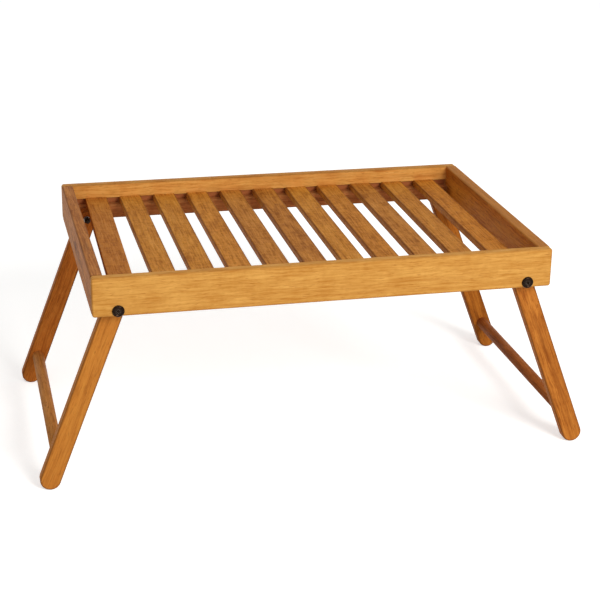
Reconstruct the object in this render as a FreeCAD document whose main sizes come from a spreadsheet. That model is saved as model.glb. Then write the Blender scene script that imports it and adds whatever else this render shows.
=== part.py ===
import FreeCAD, Part
import math
import os
import Sketcher

# Slatted wooden bed tray table with two pairs of folding legs.
# Frame: +X to the right along the tray, +Y to the rear, +Z up. The origin lies on the
# ground under the middle of the tray, with the legs opened out.

doc = FreeCAD.newDocument("bed_tray_table")
Vec = FreeCAD.Vector

# ---------------------------------------------------------------- driving sizes
# Millimetres, degrees and counts.
SIZES = [
    # tray frame
    ("tray_length", 580),
    ("tray_depth", 396),
    ("rail_height", 50),
    ("rail_thickness", 12),
    ("end_board_thickness", 15),
    ("rail_corner_radius", 3.5),
    ("arris_radius", 2),
    # slats, laid from front to rear
    ("slat_count", 11),
    ("slat_width", 30.5),
    ("slat_thickness", 9),
    ("slat_drop", 19),
    ("slat_arris", 1.2),
    ("slat_end_clearance", 0.5),
    ("slat_shoulder", 1),
    ("groove_depth", 4),
    ("end_slat_gap", 17.75),
    ("slat_row_shift", -2.25),
    ("slat_nudge_01", -2),
    ("slat_nudge_02", 1),
    ("slat_nudge_03", 1),
    ("slat_nudge_08", -2),
    ("slat_nudge_10", -1),
    ("slat_skew_01", 1.1),
    # ledgers that carry the slats
    ("ledger_thickness", 9),
    ("ledger_above_rail_bottom", 2.5),
    ("ledger_arris", 1),
    # legs and crossbars
    ("leg_width", 26),
    ("leg_thickness", 15),
    ("pivot_to_foot", 245),
    ("pivot_to_crossbar", 215),
    ("crossbar_diameter", 16),
    ("socket_depth", 10),
    ("socket_end_gap", 0.3),
    ("pivot_to_board", 16.2),
    ("pivot_above_rail_bottom", 7),
    ("stop_gap", 0.2),
    ("side_play", 0.1),
    # pivot bolts, nuts and washers
    ("bolt_diameter", 5),
    ("bolt_fit", 0.06),
    ("bolt_head_diameter", 15),
    ("bolt_head_height", 2.6),
    ("bolt_head_dome", 1.8),
    ("bolt_projection", 2.1),
    ("key_across_flats", 4),
    ("key_depth", 2),
    ("nut_across_flats", 8),
    ("nut_thickness", 4.7),
    ("nut_edge", 0.5),
    ("washer_diameter", 10),
    ("washer_bore_fit", 0.15),
    ("washer_thickness", 1),
    # corner dowels
    ("dowel_diameter", 8),
    ("dowel_fit", 0.03),
    ("dowel_spacing", 25),
    ("dowel_in_rail", 8),
    ("dowel_in_board", 20),
    ("dowel_end_gap", 0.3),
    # ledger screws
    ("screw_diameter", 3.5),
    ("screw_head_diameter", 7),
    ("screw_fit", 0.03),
    ("screw_in_rail", 7),
    ("screw_tip", 2),
    ("screw_from_brad", 6),
    ("recess_width", 0.9),
    ("recess_length", 4),
    ("recess_depth", 1.2),
    # brads that hold the slats
    ("brad_diameter", 1.2),
    ("brad_fit", 0.02),
    ("brad_in_ledger", 10),
]

sheet = doc.addObject("Spreadsheet::Sheet", "Sizes")
for row, (alias, number) in enumerate(SIZES, start=1):
    sheet.set(f"A{row}", alias)
    sheet.set(f"B{row}", str(number))
    sheet.setAlias(f"B{row}", alias)
doc.recompute()

# ---------------------------------------------------------------- places that follow from the sizes
# Opened out, a leg leans on the rounded lower inner arris of the end board. The stop
# is a circle of arris_radius, seen from the pivot at the distance and angle below.
LAYOUT = [
    ("rail_inner_y", "Sizes.tray_depth / 2 - Sizes.rail_thickness"),
    ("board_inner_x", "Sizes.tray_length / 2 - Sizes.end_board_thickness"),
    ("board_middle_x", "(Sizes.tray_length - Sizes.end_board_thickness) / 2"),
    ("pivot_x", "Layout.board_inner_x - Sizes.pivot_to_board"),
    ("stop_across", "Sizes.pivot_to_board + Sizes.arris_radius"),
    ("stop_down", "Sizes.pivot_above_rail_bottom - Sizes.arris_radius"),
    ("stop_distance", "hypot(Layout.stop_across; Layout.stop_down)"),
    ("stop_offset", "Sizes.leg_width / 2 + Sizes.arris_radius + Sizes.stop_gap"),
    ("splay", "acos(Layout.stop_offset / Layout.stop_distance)"
              " - atan2(Layout.stop_down; Layout.stop_across)"),
    ("pivot_z", "Sizes.pivot_to_foot * cos(Layout.splay) + Sizes.leg_width / 2"),
    ("rail_bottom_z", "Layout.pivot_z - Sizes.pivot_above_rail_bottom"),
    ("rail_top_z", "Layout.rail_bottom_z + Sizes.rail_height"),
    ("ledger_top_z", "Layout.rail_top_z - Sizes.slat_drop - Sizes.slat_thickness"),
    ("ledger_height", "Layout.ledger_top_z - Layout.rail_bottom_z"
                      " - Sizes.ledger_above_rail_bottom"),
    ("ledger_inner_y", "Layout.rail_inner_y - Sizes.ledger_thickness"),
    ("ledger_middle_y", "Layout.rail_inner_y - Sizes.ledger_thickness / 2"),
    ("pivot_below_ledger_top", "Layout.ledger_top_z - Layout.pivot_z"),
    ("leg_outer_y", "Layout.ledger_inner_y - Sizes.washer_thickness - Sizes.side_play"),
    ("leg_inner_y", "Layout.leg_outer_y - Sizes.leg_thickness"),
    ("nut_washer_y", "Layout.leg_inner_y - Sizes.side_play"),
    ("nut_y", "Layout.nut_washer_y - Sizes.washer_thickness"),
    ("bolt_length", "Sizes.tray_depth / 2 - Layout.nut_y"
                    " + Sizes.nut_thickness + Sizes.bolt_projection"),
    ("bolt_bore", "Sizes.bolt_diameter + 2 * Sizes.bolt_fit"),
    ("tongue_thickness", "Sizes.slat_thickness - Sizes.slat_shoulder"),
    ("slat_pitch", "(2 * Layout.board_inner_x - 2 * Sizes.end_slat_gap - Sizes.slat_width)"
                   " / (Sizes.slat_count - 1)"),
    ("crossbar_x", "Layout.pivot_x + Sizes.pivot_to_crossbar * sin(Layout.splay)"),
    ("crossbar_z", "Layout.pivot_z - Sizes.pivot_to_crossbar * cos(Layout.splay)"),
    ("crossbar_end_y", "Layout.leg_inner_y + Sizes.socket_depth - Sizes.socket_end_gap"),
    ("dowel_length", "Sizes.dowel_in_rail + Sizes.dowel_in_board - 2 * Sizes.dowel_end_gap"),
    ("screw_length", "Sizes.ledger_thickness + Sizes.screw_in_rail - Sizes.screw_fit"),
    ("screw_sink", "(Sizes.screw_head_diameter - Sizes.screw_diameter) / 2"),
    ("screw_below_ledger_top", "Layout.ledger_height / 2"),
]

layout = doc.addObject("App::VarSet", "Layout")
for name, formula in LAYOUT:
    kind = "App::PropertyAngle" if name == "splay" else "App::PropertyFloat"
    layout.addProperty(kind, name)
    layout.setExpression(name, formula)
doc.recompute()


def value(formula):
    """Current value of a formula over the sizes and places."""
    number = sheet.evalExpression(formula)
    return float(getattr(number, "Value", number))


# ---------------------------------------------------------------- shared construction steps
FRONT, REAR = -1, 1
LEFT, RIGHT = -1, 1
nodes = {}


def keep(node):
    """List a finished sub-part under its label."""
    nodes[node.Label] = node
    return node


def place(node, x, y, z, axis="0; 0; 1", angle="0"):
    node.setExpression(
        "Placement",
        f"placement(vector({x}; {y}; {z}); rotation(vector({axis}); {angle}))",
    )


def new_body(name):
    body = doc.addObject("PartDesign::Body", name)
    body.Label = name
    return body


def new_sketch(body, name, role, offset=None):
    """Sketch on one of the body's own origin planes, moved along the plane's normal."""
    plane = next(item for item in body.Origin.OriginFeatures if item.Role == role)
    sketch = body.newObject("Sketcher::SketchObject", f"{body.Name}_{name}")
    sketch.AttachmentSupport = [(plane, "")]
    sketch.MapMode = "FlatFace"
    if offset:
        sketch.setExpression("AttachmentOffset.Base.z", offset)
    return sketch


def bind(sketch, kind, *refs, name, formula):
    """Add a dimension to a sketch and tie it to a formula."""
    index = sketch.addConstraint(Sketcher.Constraint(kind, *refs, value(formula)))
    sketch.renameConstraint(index, name)
    sketch.setExpression(f"Constraints.{name}", formula)


def rectangle(sketch, left, bottom, width, height):
    x, y = value(left), value(bottom)
    dx, dy = value(width), value(height)
    corners = [Vec(x, y, 0), Vec(x + dx, y, 0), Vec(x + dx, y + dy, 0), Vec(x, y + dy, 0)]
    for index in range(4):
        sketch.addGeometry(Part.LineSegment(corners[index], corners[(index + 1) % 4]))
    for index in range(4):
        sketch.addConstraint(Sketcher.Constraint("Coincident", index, 2, (index + 1) % 4, 1))
    for index in (0, 2):
        sketch.addConstraint(Sketcher.Constraint("Horizontal", index))
    for index in (1, 3):
        sketch.addConstraint(Sketcher.Constraint("Vertical", index))
    bind(sketch, "DistanceX", -1, 1, 0, 1, name="left", formula=left)
    bind(sketch, "DistanceY", -1, 1, 0, 1, name="bottom", formula=bottom)
    bind(sketch, "DistanceX", 0, 1, 0, 2, name="width", formula=width)
    bind(sketch, "DistanceY", 1, 1, 1, 2, name="height", formula=height)


def circles(sketch, diameter, centres):
    """Equal circles at the given pairs of formulas."""
    for index, (across, up) in enumerate(centres):
        centre = Vec(value(across), value(up), 0)
        sketch.addGeometry(Part.Circle(centre, Vec(0, 0, 1), value(diameter) / 2))
        bind(sketch, "DistanceX", -1, 1, index, 3, name=f"x{index}", formula=across)
        bind(sketch, "DistanceY", -1, 1, index, 3, name=f"y{index}", formula=up)
        bind(sketch, "Diameter", index, name=f"d{index}", formula=diameter)


def hexagon(sketch, across_flats):
    """Regular hexagon about the origin, with a flat on each side of the X axis."""
    corner = value(across_flats) / math.sqrt(3)
    points = [
        Vec(corner * math.cos(math.radians(60 * step)), corner * math.sin(math.radians(60 * step)), 0)
        for step in range(6)
    ]
    for index in range(6):
        sketch.addGeometry(Part.LineSegment(points[index], points[(index + 1) % 6]))
    rim = sketch.addGeometry(Part.Circle(Vec(0, 0, 0), Vec(0, 0, 1), corner), True)
    sketch.addConstraint(Sketcher.Constraint("Coincident", rim, 3, -1, 1))
    for index in range(6):
        sketch.addConstraint(Sketcher.Constraint("Coincident", index, 2, (index + 1) % 6, 1))
        sketch.addConstraint(Sketcher.Constraint("PointOnObject", index, 1, rim))
    for index in range(1, 6):
        sketch.addConstraint(Sketcher.Constraint("Equal", 0, index))
    sketch.addConstraint(Sketcher.Constraint("PointOnObject", 0, 1, -1))
    bind(sketch, "Diameter", rim, name="corners", formula=f"2 * {across_flats} / sqrt(3)")


def slot(sketch, width, length):
    """Slot with half-round ends, from the origin straight down."""
    radius, reach = value(width) / 2, value(length)
    up = Vec(0, 0, 1)
    top = Part.Circle(Vec(0, 0, 0), up, radius)
    foot = Part.Circle(Vec(0, -reach, 0), up, radius)
    sketch.addGeometry(Part.ArcOfCircle(top, 0, math.pi))
    sketch.addGeometry(Part.ArcOfCircle(foot, math.pi, 2 * math.pi))
    sketch.addGeometry(Part.LineSegment(Vec(-radius, 0, 0), Vec(-radius, -reach, 0)))
    sketch.addGeometry(Part.LineSegment(Vec(radius, -reach, 0), Vec(radius, 0, 0)))
    for refs in ((0, 1, 3, 2), (0, 2, 2, 1), (2, 2, 1, 1), (1, 2, 3, 1)):
        sketch.addConstraint(Sketcher.Constraint("Tangent", *refs))
    sketch.addConstraint(Sketcher.Constraint("Coincident", 0, 3, -1, 1))
    sketch.addConstraint(Sketcher.Constraint("PointOnObject", 1, 3, -2))
    sketch.addConstraint(Sketcher.Constraint("Equal", 0, 1))
    bind(sketch, "Radius", 0, name="end_radius", formula=f"{width} / 2")
    bind(sketch, "DistanceY", 1, 3, 0, 3, name="reach", formula=length)


def pad(body, sketch, length, reverse=False):
    feature = body.newObject("PartDesign::Pad", f"{sketch.Name}_pad")
    feature.Profile = sketch
    feature.Reversed = reverse
    feature.setExpression("Length", length)
    doc.recompute()
    return feature


def pocket(body, sketch, depth, along_normal=False):
    """Cut a sketch into the body; along_normal cuts on the side the plane's normal points to."""
    before = body.Shape.Volume
    feature = body.newObject("PartDesign::Pocket", f"{sketch.Name}_pocket")
    feature.Profile = sketch
    feature.Reversed = along_normal
    feature.setExpression("Length", depth)
    doc.recompute()
    if not body.Shape.Volume < before:
        raise RuntimeError(f"{feature.Name} cuts nothing")
    return feature


def edge_names(shape, wanted):
    """Names of the edges whose two end points and middle satisfy a test."""
    names = []
    for index, edge in enumerate(shape.Edges, start=1):
        middle = edge.valueAt((edge.FirstParameter + edge.LastParameter) / 2)
        if wanted(edge, middle):
            names.append(f"Edge{index}")
    return names


def runs_along(edge, axis):
    """True for a straight edge parallel to the axis numbered 0, 1 or 2."""
    if len(edge.Vertexes) != 2:
        return False
    start, end = edge.Vertexes[0].Point, edge.Vertexes[1].Point
    across = [abs(start[i] - end[i]) for i in range(3) if i != axis]
    return max(across) < 1e-6


def soften(body, names, radius, wall, kind="Fillet"):
    """Round (or chamfer) edges; the radius is limited by the wall it sits on."""
    base = body.Tip
    feature = body.newObject(f"PartDesign::{kind}", f"{body.Name}_{kind.lower()}")
    feature.Base = (base, names)
    prop = "Radius" if kind == "Fillet" else "Size"
    feature.setExpression(prop, f"min({radius}; 0.45 * {wall})")
    doc.recompute()
    return feature


def on_plane_y(middle, y):
    return abs(middle.y - y) < 1e-6


def face_rims(shape, thickness):
    """Names of the edges round the two faces of a board that stands on its XZ plane."""
    return edge_names(shape, lambda edge, middle: any(
        on_plane_y(middle, y) and all(on_plane_y(vertex.Point, y) for vertex in edge.Vertexes)
        for y in (0.0, thickness)))


def group(name, master, spots):
    """Several copies of one piece as one sub-part; a spot is x, y, z, axis and angle."""
    copies = []
    for index, spot in enumerate(spots, start=1):
        copy = doc.addObject("App::Link", f"{name}_{index:02d}")
        copy.LinkedObject = master
        place(copy, *spot)
        copies.append(copy)
    compound = doc.addObject("Part::Compound", name)
    compound.Label = name
    compound.Links = copies
    return keep(compound)


# ---------------------------------------------------------------- slat row
def slat_cell(prefix, number):
    """Formula of one slat's own offset, or nothing where it lies on the even spacing."""
    alias = f"{prefix}_{number:02d}"
    return f"Sizes.{alias}" if any(alias == name for name, _ in SIZES) else "0"


slat_count = int(value("Sizes.slat_count"))
slats = []
for number in range(1, slat_count + 1):
    slats.append({
        "name": f"slat_{number:02d}",
        "x": f"(Sizes.slat_row_shift + {slat_cell('slat_nudge', number)}"
             f" + ({number} - (Sizes.slat_count + 1) / 2) * Layout.slat_pitch)",
        "skew": slat_cell("slat_skew", number),
    })

# A brad goes through each slat's end into the ledger below it.
for slat in slats:
    swing = f"Layout.ledger_middle_y * tan({slat['skew']})"
    slat["front_x"] = f"({slat['x']} - {swing})"
    slat["rear_x"] = f"({slat['x']} + {swing})"


def make_slat(slat):
    """Flat slat that lies on the ledgers, with two brad holes; its end tongues go into the rails."""
    body = new_body(slat["name"])
    for part, reach, height in (
            ("tongues", "Layout.rail_inner_y + Sizes.groove_depth - Sizes.slat_end_clearance",
             "Layout.tongue_thickness"),
            ("board", "Layout.rail_inner_y - Sizes.slat_end_clearance", "Sizes.slat_thickness")):
        outline = new_sketch(body, part, "XY_Plane")
        rectangle(outline, "-Sizes.slat_width / 2", f"-({reach})", "Sizes.slat_width", f"2 * ({reach})")
        pad(body, outline, height)
    faces_z = (0.0, value("Sizes.slat_thickness"))
    soften(body, edge_names(body.Shape, lambda edge, middle: runs_along(edge, 1)
                            and min(abs(middle.z - z) for z in faces_z) < 1e-6),
           "Sizes.slat_arris", "Sizes.slat_thickness")
    holes = new_sketch(body, "brad_holes", "XY_Plane")
    reach = f"Layout.ledger_middle_y / cos({slat['skew']})"
    circles(holes, "Sizes.brad_diameter + 2 * Sizes.brad_fit", [("0", f"-{reach}"), ("0", reach)])
    pocket(body, holes, "Sizes.slat_thickness", along_normal=True)
    place(body, slat["x"], "0", "Layout.ledger_top_z", angle=f"-({slat['skew']})")
    return keep(body)


for slat in slats:
    make_slat(slat)


# ---------------------------------------------------------------- rails, ledgers and end boards
PIVOT_XS = ("-Layout.pivot_x", "Layout.pivot_x")
# Four screws hold a ledger, each under a slat and beside that slat's brad.
half_row = slat_count // 2
SCREW_XS = (
    f"{slats[1]['x']} + Sizes.screw_from_brad",
    f"{slats[half_row - 1]['x']} + Sizes.screw_from_brad",
    f"{slats[-half_row]['x']} + Sizes.screw_from_brad",
    f"{slats[-2]['x']} + Sizes.screw_from_brad",
)
DOWEL_ZS = ("(Sizes.rail_height - Sizes.dowel_spacing) / 2", "(Sizes.rail_height + Sizes.dowel_spacing) / 2")


def make_rail(name, side):
    """Long rail that caps the end boards, grooved for the slats; its inner face is the XZ plane."""
    body = new_body(name)
    outline = new_sketch(body, "outline", "XZ_Plane")
    rectangle(outline, "-Sizes.tray_length / 2", "0", "Sizes.tray_length", "Sizes.rail_height")
    pad(body, outline, "Sizes.rail_thickness", reverse=side == REAR)
    soften(body, edge_names(body.Shape, lambda edge, middle: runs_along(edge, 1)),
           "Sizes.rail_corner_radius", "Sizes.rail_height")
    soften(body, face_rims(body.Shape, side * value("Sizes.rail_thickness")),
           "Sizes.arris_radius", "Sizes.rail_thickness")
    groove = new_sketch(body, "slat_groove", "XZ_Plane")
    rectangle(groove, "-Layout.board_inner_x", "Layout.ledger_top_z - Layout.rail_bottom_z",
              "2 * Layout.board_inner_x", "Layout.tongue_thickness")
    pocket(body, groove, "Sizes.groove_depth", along_normal=side == FRONT)
    bores = new_sketch(body, "pivot_bores", "XZ_Plane")
    circles(bores, "Layout.bolt_bore", [(x, "Sizes.pivot_above_rail_bottom") for x in PIVOT_XS])
    pocket(body, bores, "Sizes.rail_thickness", along_normal=side == FRONT)
    sockets = new_sketch(body, "dowel_sockets", "XZ_Plane")
    circles(sockets, "Sizes.dowel_diameter + 2 * Sizes.dowel_fit",
            [(x, z) for x in ("-Layout.board_middle_x", "Layout.board_middle_x") for z in DOWEL_ZS])
    pocket(body, sockets, "Sizes.dowel_in_rail", along_normal=side == FRONT)
    pilots = new_sketch(body, "screw_pilots", "XZ_Plane")
    screw_z = "Layout.ledger_top_z - Layout.rail_bottom_z - Layout.screw_below_ledger_top"
    circles(pilots, "Sizes.screw_diameter + 2 * Sizes.screw_fit", [(x, screw_z) for x in SCREW_XS])
    pocket(body, pilots, "Sizes.screw_in_rail", along_normal=side == FRONT)
    place(body, "0", f"{side} * Layout.rail_inner_y", "Layout.rail_bottom_z")
    return keep(body)


def make_ledger(name, side):
    """Ledger on a rail's inner face; its own inner face and top are the body's XZ and XY planes."""
    body = new_body(name)
    outline = new_sketch(body, "outline", "XZ_Plane")
    rectangle(outline, "-Layout.board_inner_x", "-Layout.ledger_height",
              "2 * Layout.board_inner_x", "Layout.ledger_height")
    pad(body, outline, "Sizes.ledger_thickness", reverse=side == REAR)
    inner = edge_names(body.Shape, lambda edge, middle: runs_along(edge, 0) and on_plane_y(middle, 0))
    soften(body, inner, "Sizes.ledger_arris", "Sizes.ledger_thickness")
    bores = new_sketch(body, "pivot_bores", "XZ_Plane")
    circles(bores, "Layout.bolt_bore", [(x, "-Layout.pivot_below_ledger_top") for x in PIVOT_XS])
    pocket(body, bores, "Sizes.ledger_thickness", along_normal=side == FRONT)
    holes = new_sketch(body, "screw_holes", "XZ_Plane")
    circles(holes, "Sizes.screw_diameter + 2 * Sizes.screw_fit",
            [(x, "-Layout.screw_below_ledger_top") for x in SCREW_XS])
    pocket(body, holes, "Sizes.ledger_thickness", along_normal=side == FRONT)
    bore = value("Layout.bolt_bore") / 2
    rims = edge_names(body.Shape, lambda edge, middle: edge.Curve.TypeId == "Part::GeomCircle"
                      and on_plane_y(middle, 0) and abs(edge.Curve.Radius - bore) > 0.1)
    soften(body, rims, "Layout.screw_sink", "Sizes.ledger_thickness", kind="Chamfer")
    pins = new_sketch(body, "brad_holes", "XY_Plane")
    end = "front_x" if side == FRONT else "rear_x"
    circles(pins, "Sizes.brad_diameter + 2 * Sizes.brad_fit",
            [(slat[end], f"{side} * Sizes.ledger_thickness / 2") for slat in slats])
    pocket(body, pins, "Sizes.brad_in_ledger")
    place(body, "0", f"{side} * Layout.ledger_inner_y", "Layout.ledger_top_z")
    return keep(body)


def make_end_board(name, side):
    """End board between the rails; its inner face is the body's YZ plane."""
    body = new_body(name)
    outline = new_sketch(body, "outline", "YZ_Plane")
    rectangle(outline, "-Layout.rail_inner_y", "0", "2 * Layout.rail_inner_y", "Sizes.rail_height")
    pad(body, outline, "Sizes.end_board_thickness", reverse=side == LEFT)
    soften(body, edge_names(body.Shape, lambda edge, middle: runs_along(edge, 1)),
           "Sizes.arris_radius", "Sizes.end_board_thickness")
    for end in (FRONT, REAR):
        sockets = new_sketch(body, f"dowel_sockets_{'front' if end == FRONT else 'rear'}", "XZ_Plane",
                             offset=f"-({end}) * Layout.rail_inner_y")
        circles(sockets, "Sizes.dowel_diameter + 2 * Sizes.dowel_fit",
                [(f"{side} * Sizes.end_board_thickness / 2", z) for z in DOWEL_ZS])
        pocket(body, sockets, "Sizes.dowel_in_board", along_normal=end == REAR)
    place(body, f"{side} * Layout.board_inner_x", "0", "Layout.rail_bottom_z")
    return keep(body)


for place_name, side in (("front", FRONT), ("rear", REAR)):
    make_rail(f"{place_name}_rail", side)
    make_ledger(f"{place_name}_ledger", side)
for place_name, side in (("left", LEFT), ("right", RIGHT)):
    make_end_board(f"{place_name}_end_board", side)


# ---------------------------------------------------------------- legs and crossbars
def make_leg(name, end, side):
    """Leg with half-round ends, the upper one about the pivot; its inner face is the XZ plane."""
    body = new_body(name)
    outline = new_sketch(body, "outline", "XZ_Plane")
    slot(outline, "Sizes.leg_width", "Sizes.pivot_to_foot")
    pad(body, outline, "Sizes.leg_thickness", reverse=end == REAR)
    soften(body, face_rims(body.Shape, end * value("Sizes.leg_thickness")),
           "Sizes.arris_radius", "Sizes.leg_thickness")
    bore = new_sketch(body, "pivot_bore", "XZ_Plane")
    circles(bore, "Layout.bolt_bore", [("0", "0")])
    pocket(body, bore, "Sizes.leg_thickness", along_normal=end == FRONT)
    socket = new_sketch(body, "crossbar_socket", "XZ_Plane")
    circles(socket, "Sizes.crossbar_diameter + 2 * Sizes.dowel_fit", [("0", "-Sizes.pivot_to_crossbar")])
    pocket(body, socket, "Sizes.socket_depth", along_normal=end == FRONT)
    place(body, f"{side} * Layout.pivot_x", f"{end} * Layout.leg_inner_y", "Layout.pivot_z",
          axis="0; 1; 0", angle=f"-({side}) * Layout.splay")
    return keep(body)


def make_crossbar(name, side):
    """Round bar let into blind sockets in a pair of legs."""
    bar = doc.addObject("Part::Cylinder", name)
    bar.Label = name
    bar.setExpression("Radius", "Sizes.crossbar_diameter / 2")
    bar.setExpression("Height", "2 * Layout.crossbar_end_y")
    place(bar, f"{side} * Layout.crossbar_x", "-Layout.crossbar_end_y", "Layout.crossbar_z",
          axis="1; 0; 0", angle="-90")
    return keep(bar)


for side_name, side in (("left", LEFT), ("right", RIGHT)):
    make_leg(f"front_{side_name}_leg", FRONT, side)
    make_leg(f"rear_{side_name}_leg", REAR, side)
    make_crossbar(f"{side_name}_crossbar", side)

# ---------------------------------------------------------------- pivot hardware
# The masters stand on the Z axis: a bolt's head is below the XY plane and its shank above.
bolt = new_body("bolt_master")
head = new_sketch(bolt, "head", "XY_Plane")
circles(head, "Sizes.bolt_head_diameter", [("0", "0")])
pad(bolt, head, "Sizes.bolt_head_height", reverse=True)
crown_z = -value("Sizes.bolt_head_height")
crown = edge_names(bolt.Shape, lambda edge, middle: abs(middle.z - crown_z) < 1e-6)
soften(bolt, crown, "Sizes.bolt_head_dome", "2 * Sizes.bolt_head_height")
shank = new_sketch(bolt, "shank", "XY_Plane")
circles(shank, "Sizes.bolt_diameter", [("0", "0")])
pad(bolt, shank, "Layout.bolt_length")
key = new_sketch(bolt, "key_socket", "XY_Plane", offset="-Sizes.bolt_head_height")
hexagon(key, "Sizes.key_across_flats")
pocket(bolt, key, "Sizes.key_depth", along_normal=True)

nut = new_body("nut_master")
flats = new_sketch(nut, "flats", "XY_Plane")
hexagon(flats, "Sizes.nut_across_flats")
pad(nut, flats, "Sizes.nut_thickness")
nut_top = value("Sizes.nut_thickness")
outer = edge_names(nut.Shape, lambda edge, middle: abs(middle.z - nut_top) < 1e-6)
soften(nut, outer, "Sizes.nut_edge", "Sizes.nut_thickness")
thread = new_sketch(nut, "thread_bore", "XY_Plane")
circles(thread, "Layout.bolt_bore", [("0", "0")])
pocket(nut, thread, "Sizes.nut_thickness", along_normal=True)

washer = new_body("washer_master")
ring = new_sketch(washer, "ring", "XY_Plane")
circles(ring, "Sizes.washer_diameter", [("0", "0")])
pad(washer, ring, "Sizes.washer_thickness")
hole = new_sketch(washer, "hole", "XY_Plane")
circles(hole, "Sizes.bolt_diameter + 2 * Sizes.washer_bore_fit", [("0", "0")])
pocket(washer, hole, "Sizes.washer_thickness", along_normal=True)


def pivot_spots(distance):
    """The four pivots, with a master's Z axis pointing inward from its seat at a distance."""
    spots = []
    for side in (LEFT, RIGHT):
        for end in (FRONT, REAR):
            spots.append((f"{side} * Layout.pivot_x", f"{end} * ({distance})",
                          "Layout.pivot_z", "1; 0; 0", f"{end} * 90"))
    return spots


group("pivot_bolts", bolt, pivot_spots("Sizes.tray_depth / 2"))
group("pivot_nuts", nut, pivot_spots("Layout.nut_y"))
group("pivot_washers", washer,
      pivot_spots("Layout.ledger_inner_y") + pivot_spots("Layout.nut_washer_y"))

# ---------------------------------------------------------------- hidden fixings
dowel = doc.addObject("Part::Cylinder", "dowel_master")
dowel.setExpression("Radius", "Sizes.dowel_diameter / 2")
dowel.setExpression("Height", "Layout.dowel_length")
dowel_start = "(Layout.rail_inner_y + Sizes.dowel_in_rail - Sizes.dowel_end_gap)"
group("corner_dowels", dowel, [
    (f"{side} * Layout.board_middle_x", f"{end} * {dowel_start}",
     f"Layout.rail_bottom_z + {dowel_z}", "1; 0; 0", f"{end} * 90")
    for side in (LEFT, RIGHT) for end in (FRONT, REAR) for dowel_z in DOWEL_ZS
])

# Countersunk screw: the head's top is the XY plane and the tip points up the Z axis.
screw_head = doc.addObject("Part::Cone", "screw_head")
screw_head.setExpression("Radius1", "Sizes.screw_head_diameter / 2")
screw_head.setExpression("Radius2", "Sizes.screw_diameter / 2")
screw_head.setExpression("Height", "Layout.screw_sink")
screw_shank = doc.addObject("Part::Cylinder", "screw_shank")
screw_shank.setExpression("Radius", "Sizes.screw_diameter / 2")
screw_shank.setExpression("Height", "Layout.screw_length - Sizes.screw_tip")
screw_point = doc.addObject("Part::Cone", "screw_point")
screw_point.setExpression("Radius1", "Sizes.screw_diameter / 2")
screw_point.Radius2 = 0
screw_point.setExpression("Height", "Sizes.screw_tip")
screw_point.setExpression("Placement.Base.z", "Layout.screw_length - Sizes.screw_tip")
screw_solid = doc.addObject("Part::MultiFuse", "screw_solid")
screw_solid.Shapes = [screw_head, screw_shank, screw_point]
recesses = []
for label, width, length in (("a", "Sizes.recess_width", "Sizes.recess_length"),
                             ("b", "Sizes.recess_length", "Sizes.recess_width")):
    bar = doc.addObject("Part::Box", f"screw_recess_{label}")
    bar.setExpression("Length", length)
    bar.setExpression("Width", width)
    bar.setExpression("Height", "Sizes.recess_depth")
    bar.setExpression("Placement.Base.x", f"-{length} / 2")
    bar.setExpression("Placement.Base.y", f"-{width} / 2")
    recesses.append(bar)
recess = doc.addObject("Part::MultiFuse", "screw_recess")
recess.Shapes = recesses
screw = doc.addObject("Part::Cut", "screw_master")
screw.Base = screw_solid
screw.Tool = recess
group("ledger_screws", screw, [
    (x, f"{end} * Layout.ledger_inner_y", "Layout.ledger_top_z - Layout.screw_below_ledger_top",
     "1; 0; 0", f"-({end}) * 90")
    for end in (FRONT, REAR) for x in SCREW_XS
])

brad = doc.addObject("Part::Cylinder", "brad_master")
brad.setExpression("Radius", "Sizes.brad_diameter / 2")
brad.setExpression("Height", "Sizes.slat_thickness + Sizes.brad_in_ledger - Sizes.brad_fit")
brad_foot = "Layout.ledger_top_z - Sizes.brad_in_ledger + Sizes.brad_fit"
group("slat_brads", brad, [
    (slat[f"{end_name}_x"], f"{end} * Layout.ledger_middle_y", brad_foot)
    for end_name, end in (("front", FRONT), ("rear", REAR)) for slat in slats
])

# ---------------------------------------------------------------- checks and export
doc.recompute()
for item in doc.Objects:
    if {"Invalid", "Error"} & set(item.State):
        raise RuntimeError(f"{item.Name} did not build: {item.State}")
for name, node in nodes.items():
    if node.Shape.isNull() or not node.Shape.isValid():
        raise RuntimeError(f"{name} has no valid shape")

os.makedirs("parts", exist_ok=True)
for name, node in nodes.items():
    node.Shape.exportStep(f"parts/{name}.step")

fold_angle = 90 + value("Layout.splay")
print(f"{len(nodes)} sub-parts, {sum(len(node.Shape.Solids) for node in nodes.values())} solids")
print(f"pivot x {value('Layout.pivot_x'):.3f}, pivot z {value('Layout.pivot_z'):.3f}")
print(f"leg splay {value('Layout.splay'):.3f} deg, fold {fold_angle:.3f} deg")
print(f"rail top z {value('Layout.rail_top_z'):.3f}, ledger top z {value('Layout.ledger_top_z'):.3f}")
print(f"bolt length {value('Layout.bolt_length'):.2f}, slat pitch {value('Layout.slat_pitch'):.2f}")
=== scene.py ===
# %% [markdown]
# # A wooden bed tray table
#
# The table is a raised frame with a slatted floor, on two pairs of folding legs. Its
# pieces come in at their real size and place, so this file gives them their finishes,
# remakes the turned and pressed pieces in full detail, and sets up the light and the
# camera. Everything is in metres, with +X to the right, +Y to the rear and +Z up.

import math

import bpy
from mathutils import Matrix, Vector


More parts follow.
